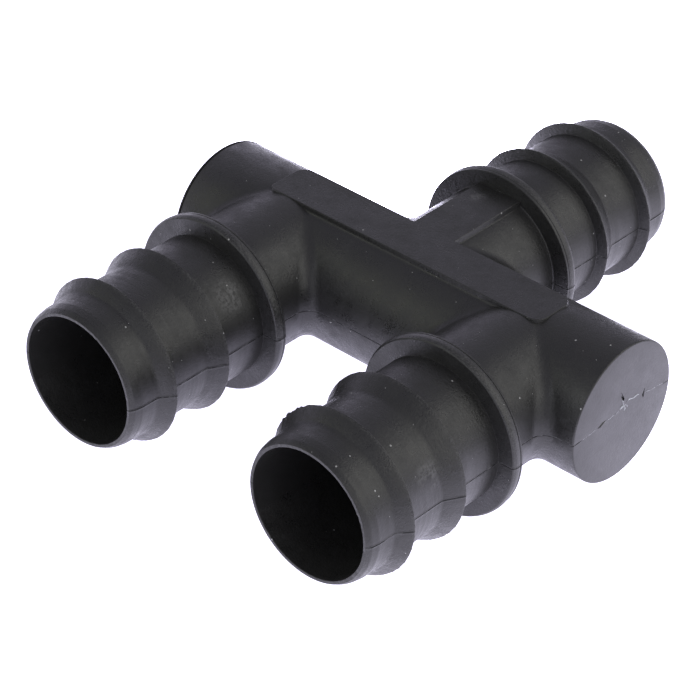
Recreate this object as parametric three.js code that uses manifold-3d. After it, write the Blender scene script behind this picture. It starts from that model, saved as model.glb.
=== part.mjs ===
// Barbed header connector for soft hose: two barbed spigots on the front, one on the back,
// all opening into a crossbar that is blind at both ends.
// The moulding is divided into named sections where its mould inserts meet, and the end plug is
// a piece of its own. Millimetres, +Z up, crossbar along X, front spigots towards -Y.
// The origin is on the ground under the middle of the crossbar: the part rests on its collars.

import * as THREE from "three";
import { mergeVertices } from "three/addons/utils/BufferGeometryUtils.js";
import Module from "manifold-3d";

const wasm = await Module();
wasm.setup();

// Driving dimensions.
const HOSE_BORE = 25;                         // inside diameter of the hose that the spigots take
const SPIGOT_PITCH = 2 * HOSE_BORE;           // distance between the two front spigots
const HEADER_LENGTH = 3.5 * HOSE_BORE;        // overall length of the crossbar
const SPIGOT_REACH = 53.6;                    // crossbar axis to a spigot's mouth
const WALL = 1.6;                             // wall of the crossbar
const END_WALL = 2.2;                         // blind wall at the right end
const SIDES = 48;                             // facets round every turned shape

// Crossbar.
const HEADER_RADIUS = HOSE_BORE / 2;
const HEADER_BORE_RADIUS = HEADER_RADIUS - WALL;
const HEADER_END = HEADER_LENGTH / 2;

// Raised flat strip along the top of the crossbar and of the rear branch.
const PAD_TOP = HEADER_RADIUS + 0.15;
const PAD_BOTTOM = HEADER_BORE_RADIUS + 0.3;
const PAD_HALF_WIDTH = 4.35;
const PAD_HALF_LENGTH = 29.2;
const PAD_CORNER_RADIUS = 2.2;

// Spigot, measured outwards from the crossbar's axis.
const TUBE_RADIUS = HEADER_RADIUS + 0.1;
const TUBE_BORE_AT_ROOT = HEADER_BORE_RADIUS - 0.1;
const TIP_RADIUS = TUBE_RADIUS - 0.8;
const TIP_WALL = 0.5;
const TIP_BORE = TIP_RADIUS - TIP_WALL;
const BARB_RADIUS = 14.55;
const BARB_LAND = 0.15;                       // narrow flat at a barb's crest
const BARB_UNDERCUT = 0.45;                   // lean of a barb's steep back
const INNER_BARB = { crest: 33.5, ramp: 3.4 };
const OUTER_BARB = { crest: 45.4, ramp: 2.2 };
const NOSE_START = 51.3;                      // where the tube begins to round in to the mouth
const NOSE_SHOULDER = TIP_RADIUS + 0.5;
const NOSE_LENGTH = 0.9;                      // steepest part of the nose, next to the mouth

// Stop collar between a spigot and its branch: a flat disc with a fillet at its foot.
const COLLAR_RADIUS = 15.8;
const COLLAR_CENTRE = 22.4;
const COLLAR_HALF = 1.1;                      // half thickness of the disc
const COLLAR_FOOT = 0.7;                      // fillet where it grows out of the tube
const COLLAR_EDGE = 0.4;                      // rounding of the rim's corners
const COLLAR_BACK = COLLAR_CENTRE - COLLAR_HALF - COLLAR_FOOT;
const COLLAR_FRONT = COLLAR_CENTRE + COLLAR_HALF + COLLAR_FOOT;

// End plug that closes the hole left by the crossbar's core.
const PLUG_LIP = 0.5;
const PLUG_CLEARANCE = 0.3;
const PLUG_DEPTH = 5;
const PLUG_WALL = 1.6;
const PLUG_WEB = 2.2;

const plastic = {
  moulding: { color: 0x2b2b2e, roughness: 0.42, metalness: 0 },
  collar: { color: 0x2d2d31, roughness: 0.45, metalness: 0 },
  plug: { color: 0x29292b, roughness: 0.5, metalness: 0 },
};

// The bore narrows evenly from the mouth to the crossbar, as the core's draft makes it.
function boreRadius(distance) {
  return THREE.MathUtils.mapLinear(distance, 0, SPIGOT_REACH, TUBE_BORE_AT_ROOT, TIP_BORE);
}

// A turned solid about Y from [radius, height] pairs. The outline closes on itself, or runs
// from the axis to the axis, and goes up along its outer side.
function turned(outline) {
  const points = outline.map(([radius, height]) => new THREE.Vector2(radius, height));
  const closed = outline[0][0] > 0;
  return new THREE.LatheGeometry(closed ? [...points, points[0]] : points, SIDES);
}

function asSolid(geometry) {
  const bare = geometry.clone();
  bare.deleteAttribute("normal");
  bare.deleteAttribute("uv");
  const merged = mergeVertices(bare, 1e-4);
  return new wasm.Manifold(new wasm.Mesh({
    numProp: 3,
    vertProperties: new Float32Array(merged.attributes.position.array),
    triVerts: new Uint32Array(merged.index.array),
  }));
}

function asGeometry(solid) {
  const { vertProperties, triVerts } = solid.getMesh();
  const geometry = new THREE.BufferGeometry();
  geometry.setAttribute("position", new THREE.BufferAttribute(vertProperties, 3));
  geometry.setIndex(new THREE.BufferAttribute(triVerts, 1));
  return geometry;
}

// A rod between two places along its own axis: X for the crossbar, Y for a branch.
function rodAlongX(radius, from, to) {
  const rod = new THREE.CylinderGeometry(radius, radius, to - from, SIDES);
  return rod.rotateY(Math.PI / 2).rotateZ(-Math.PI / 2).translate((from + to) / 2, 0, 0);
}

function rodAlongY(radiusAtFrom, radiusAtTo, x, from, to) {
  const top = Math.max(from, to);
  const bottom = Math.min(from, to);
  const topRadius = to > from ? radiusAtTo : radiusAtFrom;
  const bottomRadius = to > from ? radiusAtFrom : radiusAtTo;
  const rod = new THREE.CylinderGeometry(topRadius, bottomRadius, top - bottom, SIDES);
  return rod.translate(x, (top + bottom) / 2, 0);
}

// Where the three branches leave the crossbar, and which way each one points.
const branches = [
  { name: "front_left", x: -SPIGOT_PITCH / 2, towards: -1 },
  { name: "front_right", x: SPIGOT_PITCH / 2, towards: -1 },
  { name: "rear", x: 0, towards: 1 },
];

// Crossbar section: the tube, its blind right end, three short branches and the raised strip.
function headerPipe() {
  let body = asSolid(rodAlongX(HEADER_RADIUS, PLUG_LIP - HEADER_END, HEADER_END));
  for (const { x, towards } of branches) {
    body = body.add(asSolid(rodAlongY(HEADER_RADIUS, HEADER_RADIUS, x, 0, towards * COLLAR_BACK)));
  }
  body = body.add(asSolid(headerPad()));
  body = body.add(asSolid(rearPad()));
  const openEnd = -HEADER_END - 1;
  body = body.subtract(asSolid(rodAlongX(HEADER_BORE_RADIUS, openEnd, HEADER_END - END_WALL)));
  for (const { x, towards } of branches) {
    const past = COLLAR_BACK + 1;
    const bore = rodAlongY(boreRadius(0), boreRadius(past), x, 0, towards * past);
    body = body.subtract(asSolid(bore));
  }
  return asGeometry(body);
}

function headerPad() {
  const half = new THREE.Vector2(PAD_HALF_LENGTH, PAD_HALF_WIDTH);
  const corner = PAD_CORNER_RADIUS;
  const outline = new THREE.Shape();
  outline.absarc(half.x - corner, half.y - corner, corner, 0, Math.PI / 2);
  outline.absarc(corner - half.x, half.y - corner, corner, Math.PI / 2, Math.PI);
  outline.absarc(corner - half.x, corner - half.y, corner, Math.PI, 1.5 * Math.PI);
  outline.absarc(half.x - corner, corner - half.y, corner, 1.5 * Math.PI, 2 * Math.PI);
  const options = { depth: PAD_TOP - PAD_BOTTOM, bevelEnabled: false, curveSegments: 6 };
  return new THREE.ExtrudeGeometry(outline, options).translate(0, 0, PAD_BOTTOM);
}

function rearPad() {
  const strip = new THREE.BoxGeometry(2 * PAD_HALF_WIDTH, COLLAR_BACK, PAD_TOP - PAD_BOTTOM);
  return strip.translate(0, COLLAR_BACK / 2, (PAD_TOP + PAD_BOTTOM) / 2);
}

// Stop collar section: the disc, with the fillets at its foot on both sides.
function stopCollar() {
  const backFace = COLLAR_CENTRE - COLLAR_HALF;
  const frontFace = COLLAR_CENTRE + COLLAR_HALF;
  return turned([
    [boreRadius(COLLAR_BACK), COLLAR_BACK],
    [HEADER_RADIUS, COLLAR_BACK],
    [HEADER_RADIUS + COLLAR_FOOT, backFace],
    [COLLAR_RADIUS - COLLAR_EDGE, backFace],
    [COLLAR_RADIUS, backFace + COLLAR_EDGE],
    [COLLAR_RADIUS, frontFace - COLLAR_EDGE],
    [COLLAR_RADIUS - COLLAR_EDGE, frontFace],
    [TUBE_RADIUS + COLLAR_FOOT, frontFace],
    [TUBE_RADIUS, COLLAR_FRONT],
    [boreRadius(COLLAR_FRONT), COLLAR_FRONT],
  ]);
}

// One barb: a steep back, a narrow crest and a ramp down towards the mouth.
function barb({ crest, ramp }) {
  return [
    [TUBE_RADIUS, crest - BARB_UNDERCUT],
    [BARB_RADIUS, crest],
    [BARB_RADIUS, crest + BARB_LAND],
    [TUBE_RADIUS, crest + ramp],
  ];
}

// Barbed tube section, from the collar's front face to the mouth.
function barbedTube() {
  return turned([
    [boreRadius(COLLAR_FRONT), COLLAR_FRONT],
    [TUBE_RADIUS, COLLAR_FRONT],
    ...barb(INNER_BARB),
    ...barb(OUTER_BARB),
    [TUBE_RADIUS, NOSE_START],
    [NOSE_SHOULDER, SPIGOT_REACH - NOSE_LENGTH],
    [TIP_RADIUS, SPIGOT_REACH],
    [TIP_BORE, SPIGOT_REACH],
  ]);
}

// End plug: a thin lip over the tube's end and a cup that sits in the bore.
function endPlug() {
  const skirt = HEADER_BORE_RADIUS - PLUG_CLEARANCE;
  return turned([
    [0, 0],
    [HEADER_RADIUS, 0],
    [HEADER_RADIUS, PLUG_LIP],
    [skirt, PLUG_LIP],
    [skirt, PLUG_DEPTH],
    [skirt - PLUG_WALL, PLUG_DEPTH],
    [skirt - PLUG_WALL, PLUG_WEB],
    [0, PLUG_WEB],
  ]);
}

const connector = new THREE.Group();
connector.position.z = COLLAR_RADIUS;

function addPiece(name, geometry, look, parent = connector) {
  const piece = new THREE.Mesh(geometry, new THREE.MeshStandardMaterial(look));
  piece.name = name;
  parent.add(piece);
  return piece;
}

addPiece("header_pipe", headerPipe(), plastic.moulding);

for (const { name, x, towards } of branches) {
  const spigot = new THREE.Group();
  spigot.position.x = x;
  spigot.rotation.z = towards < 0 ? Math.PI : 0;
  addPiece(`${name}_stop_collar`, stopCollar(), plastic.collar, spigot);
  addPiece(`${name}_barbed_tube`, barbedTube(), plastic.moulding, spigot);
  connector.add(spigot);
}

const plug = addPiece("end_plug", endPlug(), plastic.plug);
plug.rotation.z = -Math.PI / 2;
plug.position.x = -HEADER_END;

export default connector;
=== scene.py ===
"""A barbed header connector for 25 mm hose, moulded in black polypropylene.

Metres, +Z up. The crossbar lies along X, the two front spigots point to -Y and the rear one to +Y.
The part rests on the rims of its stop collars.
"""
import math
import random

import bpy
from mathutils import Matrix, Vector


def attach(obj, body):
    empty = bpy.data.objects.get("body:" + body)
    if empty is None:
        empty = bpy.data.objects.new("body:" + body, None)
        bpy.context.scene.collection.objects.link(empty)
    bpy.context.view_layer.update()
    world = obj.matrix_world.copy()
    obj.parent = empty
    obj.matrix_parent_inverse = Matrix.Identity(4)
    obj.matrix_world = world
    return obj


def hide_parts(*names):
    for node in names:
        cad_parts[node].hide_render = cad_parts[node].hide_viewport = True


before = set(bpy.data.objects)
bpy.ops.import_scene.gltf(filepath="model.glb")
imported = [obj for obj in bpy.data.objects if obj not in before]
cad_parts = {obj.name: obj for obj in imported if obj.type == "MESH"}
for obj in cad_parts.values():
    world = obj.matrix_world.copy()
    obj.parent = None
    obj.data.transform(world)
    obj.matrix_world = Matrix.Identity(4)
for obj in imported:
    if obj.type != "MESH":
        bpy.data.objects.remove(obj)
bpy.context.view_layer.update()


# ---- Camera -------------------------------------------------------------------------------------
# A long lens about half a metre off, above the front right of the connector and looking down on
# it, rolled a little to one side.

mm = 0.001
eye = Vector((259.8, -313.8, 293.8)) * mm
aim = Vector((-5.0, -10.3, 9.5)) * mm
roll = math.radians(1.46)
camera_data = bpy.data.cameras.new("camera")
camera_data.sensor_width = 36
camera_data.lens = 152.2
camera = bpy.data.objects.new("camera", camera_data)
camera.matrix_world = (
    Matrix.Translation(eye)
    @ (aim - eye).to_track_quat("-Z", "Y").to_matrix().to_4x4()
    @ Matrix.Rotation(roll, 4, "Z")
)
bpy.context.collection.objects.link(camera)
bpy.context.scene.camera = camera


# ---- Light table --------------------------------------------------------------------------------
# The connector stands on a pale glowing table inside a white tent. Most of what its satin skin
# mirrors is the bright table behind and under it, and the side of the room the lens is on is dim.

table_size = 3.0
table_plastic = (0.82, 0.82, 0.83, 1)
tent_white = (0.84, 0.82, 1.0, 1)
tent_glow = 0.43
lamp_power = 10.0

bpy.context.scene.view_settings.view_transform = "Standard"

bpy.ops.object.select_all(action="DESELECT")
bpy.ops.mesh.primitive_plane_add(size=table_size, location=(0, 0, 0))
table = bpy.context.object
table.name = "light_table"

world = bpy.data.worlds.new("tent")
world.use_nodes = True
tent = world.node_tree.nodes["Background"]
tent.inputs["Color"].default_value = tent_white
tent.inputs["Strength"].default_value = tent_glow
bpy.context.scene.world = world


def soft_box(name, bearing, height, width, depth, glow, colour):
    """A soft box a metre off that faces the connector, with its bearing and height in degrees.

    Its width and depth are in metres, and glow is how bright its cloth is.
    """
    light = bpy.data.lights.new(name, "AREA")
    light.shape = "RECTANGLE"
    light.size = width
    light.size_y = depth
    light.energy = math.pi * glow * width * depth
    light.color = colour
    turn = Matrix.Rotation(math.radians(bearing), 4, "Z")
    lift = Matrix.Rotation(-math.radians(height), 4, "Y")
    place = turn @ lift @ Vector((1, 0, 0))
    box = bpy.data.objects.new(name, light)
    box.location = place
    box.rotation_euler = (-place).to_track_quat("-Z", "Y").to_euler()
    bpy.context.collection.objects.link(box)


soft_box("right_box", 20, 37, 1.80, 1.04, 1.26, (1.0, 1.0, 0.91))
soft_box("front_box", -90, 23, 0.83, 0.80, 0.94, (0.97, 1.0, 1.0))
soft_box("left_strip", 157, 9, 1.70, 0.34, 0.72, (0.84, 0.78, 1.0))
soft_box("back_left_box", 131, 40, 0.80, 0.60, 0.20, (0.90, 0.86, 1.0))
soft_box("front_left_box", -135, 28, 0.80, 0.60, 0.49, (0.94, 1.0, 0.62))


class Socket:
    """A shader value that adds its Math nodes when it is written in an expression."""

    def __init__(self, tree, socket):
        self.tree = tree
        self.socket = socket

    def math(self, operation, *others):
        node = self.tree.nodes.new("ShaderNodeMath")
        node.operation = operation
        for place, value in enumerate((self,) + others):
            if isinstance(value, Socket):
                self.tree.links.new(value.socket, node.inputs[place])
            else:
                node.inputs[place].default_value = value
        return Socket(self.tree, node.outputs[0])

    def __add__(self, other): return self.math("ADD", other)
    def __radd__(self, other): return self.math("ADD", other)
    def __mul__(self, other): return self.math("MULTIPLY", other)
    def __rmul__(self, other): return self.math("MULTIPLY", other)
    def __sub__(self, other): return self.math("SUBTRACT", other)
    def __rsub__(self, other): return (self * -1.0).math("ADD", other)
    def __lt__(self, other): return self.math("LESS_THAN", other)
    def __gt__(self, other): return self.math("GREATER_THAN", other)
    def __abs__(self): return self.math("ABSOLUTE")

    def clamp(self): return self.math("MAXIMUM", 0.0).math("MINIMUM", 1.0)

    def above(self, threshold, steepness):
        """0 up to the threshold, and from there up to 1 at this steepness."""
        return ((self - threshold) * steepness).clamp()


class Finish:
    """A material under construction: add() puts in any node and returns the output asked for."""

    def __init__(self, name):
        self.material = bpy.data.materials.new(name)
        self.material.use_nodes = True
        self.tree = self.material.node_tree
        self.shader = self.tree.nodes["Principled BSDF"]

    def add(self, kind, settings, values, output=0):
        node = self.tree.nodes.new(kind)
        for key, value in settings.items():
            setattr(node, key, value)
        for key, value in values.items():
            self.put(node.inputs[key], value)
        return Socket(self.tree, node.outputs[output])

    def put(self, target, value):
        if isinstance(value, Socket):
            self.tree.links.new(value.socket, target)
        else:
            target.default_value = value

    def mixed(self, amount, under, over):
        """One colour laid over another. 6 and 7 are the Mix node's colour inputs, 2 its result."""
        values = {"Factor": amount, 6: under, 7: over}
        return self.add("ShaderNodeMix", {"data_type": "RGBA"}, values, 2)

    def distance_from(self, centre):
        """How far each point of the piece is from a centre given in mm."""
        centre = tuple(length * mm for length in centre)
        place = self.add("ShaderNodeTexCoord", {}, {}, "Object")
        values = {0: place, 1: centre}
        return self.add("ShaderNodeVectorMath", {"operation": "DISTANCE"}, values, "Value")


# The lamps under the table: an even glow round the connector that fades out with distance, a hot
# spot behind the left end and a weaker one on the right. Places and radii are in mm.

lit = Finish("light_table")
lit.put(lit.shader.inputs["Base Color"], table_plastic)
lit.put(lit.shader.inputs["Roughness"], 0.8)
lit.put(lit.shader.inputs["Emission Strength"], lamp_power)


def pool(centre_x, centre_y, radius):
    """How much of one lamp's light reaches each point of the table: 1 at its centre."""
    share = lit.distance_from((centre_x, centre_y, 0)) * (1 / (radius * mm))
    return (share * share * -1.0).math("EXPONENT")


even_glow = 0.02 + pool(0, 0, 240) * 0.112
hot_spot = pool(-52, 66, 34) * 0.82
weak_spot = pool(75, 20, 45) * 0.065
glow = even_glow + hot_spot + weak_spot
lit.put(lit.shader.inputs["Emission Color"], lit.add("ShaderNodeCombineColor", {}, {
    "Red": glow, "Green": glow * 0.960, "Blue": glow * 1.22}, "Color"))
table.data.materials.append(lit.material)


# ---- Crossbar -----------------------------------------------------------------------------------
# The middle of the moulding: a tube with a blind right end and three short branches, black
# polypropylene about 1.6 mm thick. The bores are left by cores drawn out of the mouths and out of
# the left end, which the plug's lip covers.

ground_to_axis = 15.8 * mm
header_radius = 12.5 * mm
header_end = 43.75 * mm
blind_face = 43.60 * mm
header_bore = 10.9 * mm
blind_wall = 2.2 * mm
plug_lip = 0.5 * mm
branch_reach = 20.6 * mm
corner_radius = 3.0 * mm
half_pitch = 25.0 * mm
mouth_bore = 11.3 * mm
root_bore = 10.8 * mm
spigot_reach = 53.6 * mm
flash_turn = math.radians(0.35)
blind_edge_rounding = 0.28 * mm
plug_edge_rounding = 0.16 * mm
hair = 0.001 * mm

# The finish. Scales are in patches per metre, so 4300 is a spark grain of about 0.2 mm.
grain_scale = 4300
pit_scale = 1900
streak_scale = 520
cloud_scale = 170
rub_scale = 75
dark_line_scale = 420
painted_glint_scale = 530
ring_scale = (60.0, 1500.0, 60.0)
# Cells per metre, a speck's radius as a share of a cell, and the share of cells that stay clean.
dust_layers = ((300.0, 0.045, 0.22), (700.0, 0.050, 0.74))
# Rubbed places, the last of them a painted highlight on the front right spigot: where they are and
# how far they reach, in mm.
scuffs_and_highlight = ((-15.6, -28.2, 24.3, 3.6), (-1.5, 17.3, 28.5, 1.7), (36.3, -39.0, 21.0, 3.0))
# The blind face has no parting line between these two places along Y: the runner took it along.
torn_from = -12.2 * mm
torn_to = 10.8 * mm
parting_width = 0.075 * mm
no_seam = 1e-9
body_black = (0.0150, 0.0150, 0.0142)
rubbed_grey = (0.070, 0.070, 0.066, 1)
# Pale grey of the scuffs and of the painted highlight on the front right spigot.
scuff_and_highlight_grey = (0.100, 0.100, 0.098, 1)
dark_line_black = (0.001, 0.001, 0.001, 1)
# Pale grey of the painted glints on the parting line.
painted_glint_grey = (0.12, 0.12, 0.12, 1)
# Grey of the worn crests and rims, which also stands for their painted glints.
wear_and_glint_grey = (0.075, 0.075, 0.073, 1)
dust_grey = (0.42, 0.42, 0.41, 1)
mirror_limit = 0.24
relief_depth = 0.02 * mm
plastic_ior = 1.49


def black_polypropylene(name, shade=body_black, roughness=0.40, seam_width=parting_width,
                        turned=False):
    """Satin black plastic: spark grain, cloudy gloss, rubs, dust, a broken parting line, painted
    highlights.

    A turned piece also has the faint rings that the lathe left in its mould.
    """
    finish = Finish(name)
    place = finish.add("ShaderNodeTexCoord", {}, {}, "Object")

    def noise(scale, detail, rough=0.5, where=place):
        values = {"Vector": where, "Scale": scale, "Detail": detail, "Roughness": rough}
        return finish.add("ShaderNodeTexNoise", {}, values, "Fac")

    def part_of(vector, axis):
        return finish.add("ShaderNodeSeparateXYZ", {}, {"Vector": vector}, axis)

    cloud = noise(cloud_scale, 4)
    streak = noise(streak_scale, 3)
    grain = noise(grain_scale, 2, 0.6)
    pits = noise(pit_scale, 2)

    # The parting line: near black in broken stretches, and painted glints, pale grey spots, in
    # others.
    off_line = abs(part_of(place, "Z") - ground_to_axis)
    on_line = (1.6 - off_line * (1 / seam_width)).clamp()
    end_face = part_of(finish.add("ShaderNodeTexCoord", {}, {}, "Normal"), "X") > 0.9
    across = part_of(place, "Y")
    on_line = on_line * (1.0 - end_face * (across > torn_from) * (across < torn_to))
    dark_seam = on_line * noise(dark_line_scale, 3).above(0.36, 9.0)
    # Painted glints: pale grey spots along the parting line.
    painted_seam_glint = on_line * noise(painted_glint_scale, 3).above(0.575, 14.0)

    dust = 0.0
    for spacing, size, clean in dust_layers:
        cells = {"Vector": place, "Scale": spacing}
        speck = finish.add("ShaderNodeTexVoronoi", {}, cells, "Distance")
        tint = finish.add("ShaderNodeTexVoronoi", {}, cells, "Color")
        chance = finish.add("ShaderNodeSeparateColor", {}, {"Color": tint}, "Red")
        dust = (speck < size) * (chance > clean) + dust

    rub = noise(rub_scale, 5, 0.62).above(0.57, 4.0) * pits.above(0.40, 3.0)
    # Scuffed patches, and a painted highlight on the front right spigot.
    scuff_and_highlight = 0.0
    for *centre, radius in scuffs_and_highlight:
        near = (1.0 - finish.distance_from(centre) * (1 / (radius * mm))).clamp()
        scuff_and_highlight = near * streak.above(0.34, 4.0) + scuff_and_highlight
    scuff_and_highlight = (scuff_and_highlight * 1.5).clamp() * pits.above(0.34, 4.0)
    # Worn crests and collar rims, also painted with glints: pale lines broken by the grain.
    rims = finish.add("ShaderNodeAttribute", {"attribute_name": "wear_and_glint_mark"}, {}, "Fac")
    wear_and_glint = rims.above(0.80, 5.0) * grain.above(0.44, 5.0) * streak

    base = finish.mixed(rub * 0.5 + (grain - 0.5) * 0.25, (*shade, 1), rubbed_grey)
    # Scuffs and the painted highlight, laid in pale grey.
    base = finish.mixed(scuff_and_highlight * 0.75, base, scuff_and_highlight_grey)
    base = finish.mixed(dark_seam * 0.9, base, dark_line_black)
    # Lays in the parting line's painted glints.
    base = finish.mixed(painted_seam_glint * 0.6, base, painted_glint_grey)
    # Lays in the wear and the painted glints on crests and rims.
    base = finish.mixed(wear_and_glint * 0.9, base, wear_and_glint_grey)
    base = finish.mixed(dust * 0.7, base, dust_grey)
    finish.put(finish.shader.inputs["Base Color"], base)

    # The blind face is smoother than the rest, so less of the texture shows on it.
    lively = 1.0 - end_face * 0.6
    gloss = ((cloud - 0.5) * 0.42 + (streak - 0.5) * 0.36 + (grain - 0.5) * 0.60) * lively
    gloss = gloss + roughness + dark_seam * 0.45
    relief = (grain * 2.1 + pits * 2.2 + streak * 1.6 + cloud * 1.6) * lively - dark_seam * 6.0
    if turned:
        stretch = {"Vector": place, "Scale": ring_scale}
        along = finish.add("ShaderNodeMapping", {}, stretch, "Vector")
        rings = noise(1.0, 3, 0.6, along)
        gloss = gloss + (rings - 0.5) * 0.30
        relief = relief + rings * 1.6 + grain * 0.8 + pits * 0.6
    gloss = gloss.math("MAXIMUM", mirror_limit).clamp()
    finish.put(finish.shader.inputs["Roughness"], gloss)

    bump = finish.add("ShaderNodeBump", {}, {
        "Height": relief, "Strength": 0.9, "Distance": relief_depth}, "Normal")
    finish.put(finish.shader.inputs["Normal"], bump)
    finish.put(finish.shader.inputs["IOR"], plastic_ior)
    return finish.material


moulding_plastic = black_polypropylene("satin_black_polypropylene")


def corner_curve(x, side, turn, rise):
    """Points round the inside corner of a branch, from the crossbar to the branch, at one rise.

    A ball of the corner's radius rolls between the two equal tubes: rise is the angle up their
    skins, side is +1 for the rear, and turn is +1 for the branch's right.
    """
    out, up = math.cos(rise), math.sin(rise)
    ball = Vector((turn * out, side * out, up)) * (header_radius + corner_radius)
    to_header = Vector((0, -side * out, -up))
    to_branch = Vector((-turn * out, 0, -up))
    sweep = to_header.angle(to_branch, 0)
    steps = 12
    points = []
    for step in range(steps + 1):
        share = step / steps
        along = to_header
        if sweep > 1e-4:
            first = math.sin((1 - share) * sweep) / math.sin(sweep)
            second = math.sin(share * sweep) / math.sin(sweep)
            along = to_header * first + to_branch * second
        points.append(Vector((x, 0, ground_to_axis)) + ball + along * corner_radius)
    return points


def skin_row(side, rise, stops):
    """One line of the crossbar's skin: straight runs along X and the corners between them."""
    out = header_radius * math.cos(rise)
    up = ground_to_axis + header_radius * math.sin(rise)
    row = []
    for kind, x in stops:
        if kind == "along":
            row.append(Vector((x, side * out, up)))
        if kind == "into":
            row += corner_curve(x, side, -1, rise)
            row.append(Vector((x - out, side * branch_reach, up)))
        if kind == "out_of":
            row.append(Vector((x + out, side * branch_reach, up)))
            row += reversed(corner_curve(x, side, 1, rise))
    return row


skin_strips = [
    (-1, [("along", plug_lip - header_end), ("into", -half_pitch)]),
    (-1, [("out_of", -half_pitch), ("along", 0.0), ("into", half_pitch)]),
    (-1, [("out_of", half_pitch), ("along", blind_face)]),
    (1, [("along", plug_lip - header_end), ("along", -half_pitch), ("into", 0.0)]),
    (1, [("out_of", 0.0), ("along", half_pitch), ("along", blind_face)]),
]
quarter_steps = 40
quarter = [math.radians(90 * step / quarter_steps) for step in range(1, quarter_steps + 1)]
rises = [-angle for angle in reversed(quarter)] + [-flash_turn, 0.0, flash_turn] + quarter
skin_points = []
skin_faces = []
for side, stops in skin_strips:
    rows = [skin_row(side, rise, stops) for rise in rises]
    width = len(rows[0])
    start = len(skin_points)
    for row in rows:
        skin_points += row
    for high in range(len(rows) - 1):
        for across in range(width - 1):
            corner = start + high * width + across
            skin_faces.append((corner, corner + 1, corner + width + 1, corner + width))

header_mesh = bpy.data.meshes.new("crossbar")
header_mesh.from_pydata(skin_points, [], skin_faces)
header = bpy.data.objects.new("crossbar", header_mesh)
bpy.context.collection.objects.link(header)


def pick(piece):
    """Leaves this piece selected and active, and nothing else."""
    bpy.ops.object.select_all(action="DESELECT")
    bpy.context.view_layer.objects.active = piece
    piece.select_set(True)


pick(header)
bpy.ops.object.mode_set(mode="EDIT")
bpy.ops.mesh.select_all(action="SELECT")
bpy.ops.mesh.remove_doubles(threshold=2 * hair)
bpy.ops.mesh.fill_holes(sides=0)
bpy.ops.mesh.select_all(action="SELECT")
bpy.ops.mesh.normals_make_consistent(inside=False)
bpy.ops.object.mode_set(mode="OBJECT")


def select_edges(piece, wanted):
    """Selects the edges whose two ends both satisfy wanted(point), and stays in edit mode."""
    bpy.ops.object.mode_set(mode="EDIT")
    bpy.ops.mesh.select_mode(type="EDGE")
    bpy.ops.mesh.select_all(action="DESELECT")
    bpy.ops.object.mode_set(mode="OBJECT")
    points = piece.data.vertices
    for edge in piece.data.edges:
        edge.select = all(wanted(points[end].co) for end in edge.vertices)
    bpy.ops.object.mode_set(mode="EDIT")


select_edges(header, lambda point: point.x > blind_face - hair)
bpy.ops.mesh.bevel(offset=blind_edge_rounding, segments=4, affect="EDGES")
bpy.ops.object.mode_set(mode="OBJECT")
select_edges(header, lambda point: point.x < plug_lip - header_end + hair)
bpy.ops.mesh.bevel(offset=plug_edge_rounding, segments=2, affect="EDGES")
bpy.ops.object.mode_set(mode="OBJECT")


core_sides = 160


def bore_core(name, place, turn, radius_far, radius_near, depth):
    """One of the mould's cores: the tapered rod that leaves a bore."""
    bpy.ops.object.select_all(action="DESELECT")
    bpy.ops.mesh.primitive_cone_add(
        vertices=core_sides, radius1=radius_far, radius2=radius_near, depth=depth,
        location=place, rotation=turn)
    core = bpy.context.object
    core.name = name
    bpy.ops.object.transform_apply(location=True, rotation=True, scale=True)
    return core


def draw_out(piece, core):
    """Cuts the core's shape out of the piece and throws the core away."""
    pick(piece)
    cut = piece.modifiers.new("core", "BOOLEAN")
    cut.operation = "DIFFERENCE"
    cut.solver = "EXACT"
    cut.object = core
    bpy.ops.object.modifier_apply(modifier=cut.name)
    bpy.data.objects.remove(core)


def bore_at(distance):
    """A spigot's bore, which widens evenly from the crossbar's axis to the mouth."""
    return root_bore + (mouth_bore - root_bore) * distance / spigot_reach


inner_end = header_end - blind_wall
overshoot = 2 * mm
long_core = bore_core(
    "long_core", ((inner_end - header_end - overshoot) / 2, 0, ground_to_axis),
    (0, math.pi / 2, 0), header_bore, header_bore, inner_end + header_end + overshoot)
draw_out(header, long_core)
past_branch = branch_reach + 1 * mm
for x, side in ((-half_pitch, -1), (half_pitch, -1), (0, 1)):
    branch_core = bore_core(
        "branch_core", (x, side * past_branch / 2, ground_to_axis), (-side * math.pi / 2, 0, 0),
        bore_at(0), bore_at(past_branch), past_branch)
    draw_out(header, branch_core)

# A crack and three small gouges beside the line that the torn-off runner left across the blind
# face: the place along Y and up from the axis in mm, the turn in degrees, the length in mm, and how
# many times the cutter's width. The cutter is a slim pyramid that is stretched along the gouge.
gouges = ((-11.3, 0.0, 1, 3.6, 0.6), (-5.5, 0.35, 18, 2.2, 1.5), (0.15, 2.75, -65, 2.2, 1.0),
          (5.25, 0.75, 80, 1.3, 0.9))
cutter = {"vertices": 4, "radius1": 0.30 * mm, "radius2": 0.02 * mm, "depth": 0.9 * mm}
cutter_sink = 0.1 * mm
cutter_length = 0.37
for along, up, turn, length, width in gouges:
    turn = math.radians(turn)
    bpy.ops.object.select_all(action="DESELECT")
    bpy.ops.mesh.primitive_cone_add(
        location=(blind_face - cutter_sink, along * mm, ground_to_axis + up * mm),
        rotation=(turn, -math.pi / 2, 0), **cutter)
    gouge = bpy.context.object
    bpy.ops.object.transform_apply(location=True, rotation=True, scale=True)
    lie = Matrix.Rotation(turn, 4, "X")
    centre = Matrix.Translation((0, along * mm, ground_to_axis + up * mm))
    stretch = Matrix.Diagonal((1, length / cutter_length, width, 1))
    gouge.data.transform(centre @ lie @ stretch @ lie.inverted() @ centre.inverted())
    draw_out(header, gouge)

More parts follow.
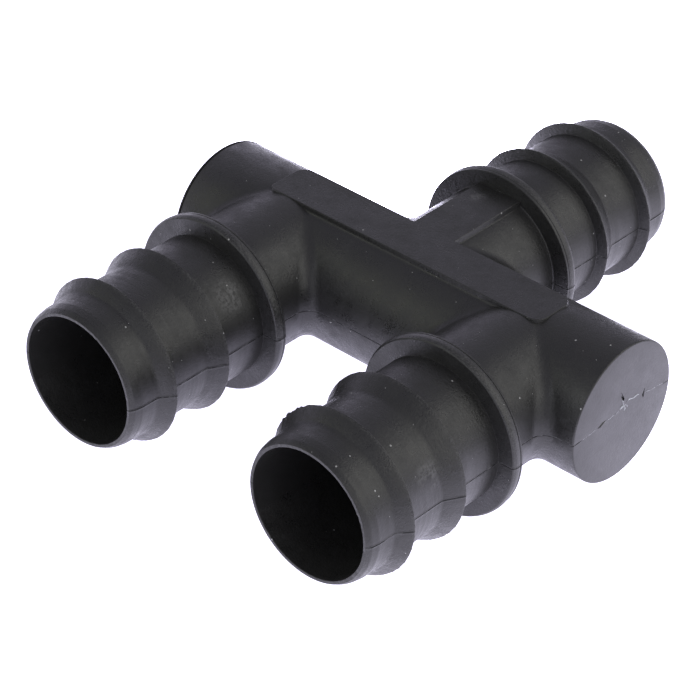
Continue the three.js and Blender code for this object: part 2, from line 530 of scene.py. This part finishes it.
smooth_below = math.radians(28)
bpy.ops.object.shade_smooth_by_angle(angle=smooth_below)
header.data.materials.clear()
header.data.materials.append(moulding_plastic)
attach(header, "root")
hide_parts("header_pipe")


# ---- Gate scar ----------------------------------------------------------------------------------
# Where the mould's runner was torn off the blind face: thin raised threads along the parting line
# and a ragged star of stress-whitened plastic beside its middle.

strained_grey = (0.07, 0.07, 0.075, 1)
stress_white = (0.36, 0.38, 0.39, 1)
patch_scale = 1400.0
scar_plastic = Finish("stress_whitened_polypropylene")
scar_place = scar_plastic.add("ShaderNodeTexCoord", {}, {}, "Object")
scar_patches = scar_plastic.add(
    "ShaderNodeTexNoise", {}, {"Vector": scar_place, "Scale": patch_scale, "Detail": 3.0}, "Fac")
scar_plastic.put(
    scar_plastic.shader.inputs["Base Color"],
    scar_plastic.mixed(scar_patches.above(0.35, 4.0), strained_grey, stress_white))
scar_plastic.put(scar_plastic.shader.inputs["Roughness"], 0.35 + scar_patches * 0.3)

# Each thread's thickness, and its way as places along Y and up from the axis, all in mm.
torn_threads = [
    (0.055, [(-10.1, -0.02), (-9.0, 0.08), (-8.1, 0.05), (-7.2, 0.16), (-6.4, 0.22)]),
    (0.075, [(-4.7, 0.42), (-3.9, 0.55), (-3.2, 0.45), (-2.3, 0.62), (-1.5, 0.52), (-0.8, 0.8)]),
    (0.30, [(-0.8, 0.75), (-0.1, 1.2), (0.5, 1.0), (0.9, 1.45)]),
    (0.24, [(0.4, 1.1), (0.1, 1.9), (-0.1, 2.4)]),
    (0.24, [(0.5, 1.1), (0.7, 0.4), (0.5, -0.1)]),
    (0.20, [(0.8, 1.3), (1.5, 1.75), (2.1, 1.6), (2.9, 1.35), (3.7, 1.5), (4.6, 1.25)]),
    (0.16, [(0.6, 1.2), (1.2, 0.8), (1.4, 0.3)]),
    (0.05, [(5.4, 0.9), (6.6, 0.75), (7.8, 0.45), (9.2, 0.4), (10.6, 0.15), (12.3, 0.0)]),
]
# How deep a thread lies, as a share of its thickness, and how it swells on its way and thins out.
thread_sink = 0.52
thread_swell = (0.8, 1.0, 0.7)
thread_end = 0.45
bpy.ops.object.select_all(action="DESELECT")
threads = []
for thickness, way in torn_threads:
    thread = bpy.data.curves.new("thread", "CURVE")
    thread.dimensions = "3D"
    thread.bevel_depth = thickness * mm
    thread.bevel_resolution = 2
    thread.use_fill_caps = True
    spline = thread.splines.new("POLY")
    spline.points.add(len(way) - 1)
    for place, (point, (along, up)) in enumerate(zip(spline.points, way)):
        out = blind_face - thread_sink * thickness * mm
        point.co = (out, along * mm, ground_to_axis + up * mm, 1)
        inside = 0 < place < len(way) - 1
        point.radius = thread_swell[place % len(thread_swell)] if inside else thread_end
    piece = bpy.data.objects.new("thread", thread)
    bpy.context.collection.objects.link(piece)
    piece.select_set(True)
    threads.append(piece)
bpy.context.view_layer.objects.active = threads[0]
bpy.ops.object.convert(target="MESH")
bpy.ops.object.join()
scar = bpy.context.object
scar.name = "gate_scar"
bpy.ops.object.shade_flat()
scar.data.materials.append(scar_plastic.material)
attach(scar, "root")
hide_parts("header_pipe")


# ---- Flat strip ---------------------------------------------------------------------------------
# A flat land level with the crown of the crossbar, cut into the mould's upper half and so moulded
# with the rest: a long bar with rounded corners, and a branch that runs back to the rear collar.
# Its sides drop to the round skin and flare out at the foot.

strip_top = ground_to_axis + 12.65 * mm
strip_half_width = 4.35 * mm
strip_half_length = 29.2 * mm
strip_reach = 21.4 * mm
strip_corner = 2.2 * mm
strip_sharp_corner = 1.3 * mm
# How far each part of the wall drops and how far it spreads, in mm.
strip_wall = [(0.05, 0.08), (0.10, 0.05), (0.45, 0.04), (0.25, 0.05), (0.12, 0.08), (0.10, 0.13),
              (0.12, 0.20), (0.41, 0.20)]

bpy.ops.object.select_all(action="DESELECT")
bpy.ops.mesh.primitive_plane_add(size=1, location=(0, 0, strip_top))
strip = bpy.context.object
strip.name = "flat_strip"
strip.scale = (2 * strip_half_length, 2 * strip_half_width, 1)
bpy.ops.object.transform_apply(location=True, rotation=True, scale=True)
bpy.ops.object.mode_set(mode="EDIT")
for x in (-strip_half_width, strip_half_width):
    bpy.ops.mesh.select_all(action="SELECT")
    bpy.ops.mesh.bisect(plane_co=(x, 0, 0), plane_no=(1, 0, 0))
bpy.ops.object.mode_set(mode="OBJECT")
select_edges(strip, lambda point: (
    point.y > strip_half_width - hair and abs(point.x) < strip_half_width + hair))
bpy.ops.mesh.extrude_region_move(
    TRANSFORM_OT_translate={"value": (0, strip_reach - strip_half_width, 0)})
bpy.ops.mesh.select_mode(type="VERT")
for rounding, front_left in ((strip_sharp_corner, True), (strip_corner, False)):
    bpy.ops.mesh.select_all(action="DESELECT")
    bpy.ops.object.mode_set(mode="OBJECT")
    for point in strip.data.vertices:
        at_end = abs(point.co.x) > strip_half_length - hair
        point.select = at_end and (point.co.x < 0 and point.co.y < 0) == front_left
    bpy.ops.object.mode_set(mode="EDIT")
    bpy.ops.mesh.bevel(offset=rounding, segments=10, affect="VERTICES")
bpy.ops.mesh.select_all(action="SELECT")
bpy.ops.mesh.normals_make_consistent(inside=False)
bpy.ops.mesh.region_to_loop()
for drop, spread in strip_wall:
    bpy.ops.mesh.extrude_edges_move(TRANSFORM_OT_translate={"value": (0, 0, -drop * mm)})
    bpy.ops.transform.shrink_fatten(value=spread * mm)
bpy.ops.mesh.fill()
bpy.ops.mesh.select_all(action="SELECT")
bpy.ops.mesh.normals_make_consistent(inside=False)
bpy.ops.object.mode_set(mode="OBJECT")
bpy.ops.object.shade_smooth_by_angle(angle=smooth_below)
strip.data.materials.append(moulding_plastic)
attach(strip, "root")
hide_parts("header_pipe")


# ---- Barbed tubes -------------------------------------------------------------------------------
# The part of each spigot that the hose is pushed over, moulded with the rest: a thin-walled tube
# with two sharp barbs that lean away from the mouth, and a nose that rounds in to a thin lip.

tube_radius = 12.6 * mm
barb_radius = 14.55 * mm
tip_radius = 11.85 * mm
tip_wall = 0.45 * mm
collar_front = 24.2 * mm
flash_height = 0.045 * mm
barb_undercut = 0.45 * mm
barb_foot_rounding = 0.08 * mm
barb_crest_rounding = 0.10 * mm
barb_crest_land = 0.2 * mm
nose_start = 51.3 * mm
nose_shoulder = 52.7 * mm
bore_step = 8 * mm
crest_from = barb_radius - 0.12 * mm
lip_from = spigot_reach - 0.05 * mm
spin_steps = 90
spigots = (("front_left", -half_pitch, -1), ("front_right", half_pitch, -1), ("rear", 0.0, 1))


def rounded(outline):
    """Turns (radius, distance, rounding) corners into points, with an arc at each rounding."""
    corners = [(Vector((radius, distance)), rounding) for radius, distance, rounding in outline]
    steps = 6
    points = []
    for place, (corner, rounding) in enumerate(corners):
        if not rounding:
            points.append(corner)
            continue
        before = corners[place - 1][0]
        after = corners[(place + 1) % len(corners)][0]
        back = (before - corner).normalized()
        ahead = (after - corner).normalized()
        half = back.angle(ahead) / 2
        setback = rounding / math.tan(half)
        centre = corner + (back + ahead).normalized() * (rounding / math.sin(half))
        first = (corner + back * setback - centre).normalized()
        last = (corner + ahead * setback - centre).normalized()
        for step in range(steps + 1):
            points.append(centre + first.slerp(last, step / steps) * rounding)
    return points


def turned_piece(name, outline, flash):
    """Spins a closed outline round Y, with a fine ridge of flash along the parting line."""
    points = rounded(outline)
    bpy.ops.object.select_all(action="DESELECT")
    bpy.ops.mesh.primitive_plane_add(size=0.1 * mm, location=(points[0].x, points[0].y, 0))
    piece = bpy.context.object
    piece.name = name
    bpy.ops.object.transform_apply(location=True, rotation=True, scale=True)
    bpy.ops.object.mode_set(mode="EDIT")
    bpy.ops.mesh.select_mode(type="VERT")
    bpy.ops.mesh.select_all(action="SELECT")
    bpy.ops.mesh.merge(type="CENTER")
    for here, there in zip(points, points[1:] + points[:1]):
        step = there - here
        bpy.ops.mesh.extrude_vertices_move(TRANSFORM_OT_translate={"value": (step.x, step.y, 0)})
    bpy.ops.mesh.select_all(action="SELECT")
    bpy.ops.mesh.remove_doubles(threshold=hair)
    bpy.ops.mesh.select_all(action="SELECT")
    about = {"center": (0, 0, 0), "axis": (0, 1, 0)}
    for half_turn in range(2):
        bpy.ops.mesh.spin(steps=1, angle=flash_turn, **about)
        bpy.ops.mesh.spin(steps=spin_steps, angle=math.pi - 2 * flash_turn, **about)
        bpy.ops.mesh.spin(steps=1, angle=flash_turn, **about)
    bpy.ops.mesh.select_all(action="SELECT")
    bpy.ops.mesh.remove_doubles(threshold=hair)
    bpy.ops.mesh.select_all(action="SELECT")
    bpy.ops.mesh.normals_make_consistent(inside=False)
    bpy.ops.object.mode_set(mode="OBJECT")
    for point in piece.data.vertices:
        outside = math.hypot(point.co.x, point.co.z) > tip_radius - tip_wall / 2
        if outside and abs(point.co.z) < hair:
            point.co.x += math.copysign(flash, point.co.x)
    bpy.ops.object.shade_smooth_by_angle(angle=math.radians(30))
    return piece


def mark_wear_and_glint(piece, least_radius, start, end):
    """Marks for the finish, from 0 to 1, which points lie on a rim that is rubbed and carries
    painted glints.
    """
    marks = piece.data.attributes.new("wear_and_glint_mark", "FLOAT", "POINT")
    for point, mark in zip(piece.data.vertices, marks.data):
        radius = math.hypot(point.co.x, point.co.z)
        mark.value = float(radius > least_radius and start < point.co.y < end)


def placed_copy(pattern, name, x, side):
    """A copy with its own mesh, turned to face its side and moved to its place."""
    copy = pattern.copy()
    copy.data = pattern.data.copy()
    copy.name = name
    bpy.context.collection.objects.link(copy)
    turn = Matrix.Rotation(math.pi if side < 0 else 0.0, 4, "Z")
    copy.data.transform(Matrix.Translation((x, 0, ground_to_axis)) @ turn)
    copy.matrix_world = Matrix.Identity(4)
    return copy


def barb(crest, ramp, blend):
    """A steep back, a narrow crest and a ramp down towards the mouth that blends in."""
    return [
        (tube_radius, crest - barb_undercut, barb_foot_rounding),
        (barb_radius, crest, barb_crest_rounding),
        (barb_radius - 0.06 * mm, crest + barb_crest_land, 0),
        (tube_radius + 0.02 * mm, crest + ramp, blend),
    ]


tube_outline = [
    (bore_at(collar_front), collar_front, 0),
    (tube_radius, collar_front, 0),
    *barb(crest=33.5 * mm, ramp=3.5 * mm, blend=2.2 * mm),
    *barb(crest=45.4 * mm, ramp=2.5 * mm, blend=1.6 * mm),
    (tube_radius, nose_start, 0.8 * mm),
    (tip_radius + 0.50 * mm, nose_shoulder, 1.2 * mm),
    (tip_radius, spigot_reach, 0.12 * mm),
    (mouth_bore, spigot_reach, 0.15 * mm),
    (bore_at(collar_front + bore_step), collar_front + bore_step, 0),
]
turned_plastic = black_polypropylene("satin_black_polypropylene_turned", turned=True)
bore_plastic = black_polypropylene("bore_polypropylene", seam_width=no_seam)

# How unevenly the crests came out of the mould, in mm: a slight wander everywhere, a nick in one
# degree out of fourteen, and the two ends of what a torn stretch gains or loses. The lip wears the
# same bumps, half as high again.
crest_wander = 0.018
nick_free = 0.93
nick_depths = (0.03, 0.07)
tear_depths = (-0.16, 0.12)
lip_share = 1.5
outer_barb_from = 44 * mm
# The spigot with a torn crest, and the degrees round its axis that the tear runs between.
torn_crests = {"front_right": (118, 152)}


def fray(tube, x, seed, torn_start, torn_end):
    """Leaves a barb's crest and the lip a little uneven, and one stretch of crest torn."""
    draw = random.Random(seed)
    bumps = [draw.gauss(0, crest_wander) + (draw.random() > nick_free) * draw.uniform(*nick_depths)
             for degree in range(360)]
    tears = [draw.uniform(*tear_depths) for degree in range(360)]
    for point in tube.data.vertices:
        across = point.co.x - x
        up = point.co.z - ground_to_axis
        radius = math.hypot(across, up)
        turn = math.degrees(math.atan2(up, across)) % 360
        bump = bumps[int(turn)]
        push = 0.0
        if radius > crest_from:
            push = bump
            if torn_start < turn < torn_end and abs(point.co.y) > outer_barb_from:
                push += tears[int(turn)]
        if mouth_bore < radius < tip_radius and abs(point.co.y) > lip_from:
            point.co.y -= math.copysign(max(0.0, bump) * lip_share * mm, point.co.y)
        point.co.x += across / radius * push * mm
        point.co.z += up / radius * push * mm


pattern_tube = turned_piece("pattern_tube", tube_outline, flash_height)
# Barb crests: worn and painted with glints.
mark_wear_and_glint(pattern_tube, crest_from, 0, spigot_reach)
pattern_tube.data.materials.append(turned_plastic)
pattern_tube.data.materials.append(bore_plastic)
for face in pattern_tube.data.polygons:
    if math.hypot(face.center.x, face.center.z) < mouth_bore + 0.05 * mm:
        face.material_index = 1
for name, x, side in spigots:
    tube = placed_copy(pattern_tube, name + "_tube", x, side)
    fray(tube, x, len(name), *torn_crests.get(name, (0, 0)))
    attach(tube, "root")
    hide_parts(name + "_barbed_tube")
bpy.data.objects.remove(pattern_tube)


# ---- Stop collars -------------------------------------------------------------------------------
# The disc that the end of the hose meets, moulded with the rest. Its rim is slightly round, with
# the faint step near the back where two halves of the mould's cavity insert meet.

collar_radius = 15.8 * mm
collar_centre = 22.4 * mm
collar_half = 1.1 * mm
rim_back = collar_centre - collar_half
rim_front = collar_centre + collar_half
collar_outline = [
    (bore_at(branch_reach), branch_reach, 0),
    (header_radius, branch_reach, 0),
    (header_radius + 0.03 * mm, rim_back, 0.25 * mm),
    (collar_radius - 0.14 * mm, rim_back, 0.16 * mm),
    (collar_radius - 0.09 * mm, rim_back + 0.42 * mm, 0),
    (collar_radius - 0.22 * mm, rim_back + 0.50 * mm, 0),
    (collar_radius - 0.10 * mm, rim_back + 0.60 * mm, 0),
    (collar_radius, rim_back + 1.00 * mm, 1.6 * mm),
    (collar_radius, rim_front - 0.62 * mm, 0.9 * mm),
    (collar_radius - 0.20 * mm, rim_front - 0.14 * mm, 0.3 * mm),
    (collar_radius - 0.42 * mm, rim_front, 0.12 * mm),
    (tube_radius, rim_front, 0.03 * mm),
    (tube_radius, collar_front, 0),
    (bore_at(collar_front), collar_front, 0),
]
pattern_collar = turned_piece("pattern_collar", collar_outline, flash_height)
# Most of the rim: worn and painted with a glint streak.
mark_wear_and_glint(pattern_collar, collar_radius - 0.3 * mm, rim_back + 0.55 * mm, rim_front - 0.1 * mm)
pattern_collar.data.materials.append(turned_plastic)
for name, x, side in spigots:
    collar = placed_copy(pattern_collar, name + "_collar", x, side)
    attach(collar, "root")
    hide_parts(name + "_stop_collar")
bpy.data.objects.remove(pattern_collar)


# ---- End plug -----------------------------------------------------------------------------------
# A small cup pressed and welded into the left end of the crossbar, where its long core came out.
# Only its thin lip, with a fine bead of weld on its edge, and its flat end show.

plug_black = (0.014, 0.014, 0.014)
plug_radius = header_radius - 0.02 * mm
plug_skirt = header_bore - 0.3 * mm
plug_hollow = header_bore - 1.9 * mm
plug_lip_back = 0.42 * mm
plug_depth = 5 * mm
plug_web = 2.2 * mm
plug_centre = 0.02 * mm
plug_plastic = black_polypropylene("plug_polypropylene", plug_black, 0.46, no_seam)
plug_outline = [
    (plug_centre, 0, 0),
    (plug_radius, 0, 0.12 * mm),
    (plug_radius, 0.26 * mm, 0),
    (header_radius + 0.06 * mm, 0.31 * mm, 0),
    (header_radius + 0.04 * mm, 0.38 * mm, 0),
    (header_radius - 0.25 * mm, plug_lip_back, 0),
    (plug_skirt, plug_lip_back, 0),
    (plug_skirt, plug_depth, 0.3 * mm),
    (plug_hollow, plug_depth, 0.2 * mm),
    (plug_hollow, plug_web, 0.4 * mm),
    (plug_centre, plug_web, 0),
]
plug = turned_piece("plug", plug_outline, 0.0)
plug.data.transform(
    Matrix.Translation((-header_end, 0, ground_to_axis)) @ Matrix.Rotation(-math.pi / 2, 4, "Z"))
plug.data.materials.append(plug_plastic)
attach(plug, "root")
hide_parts("end_plug")
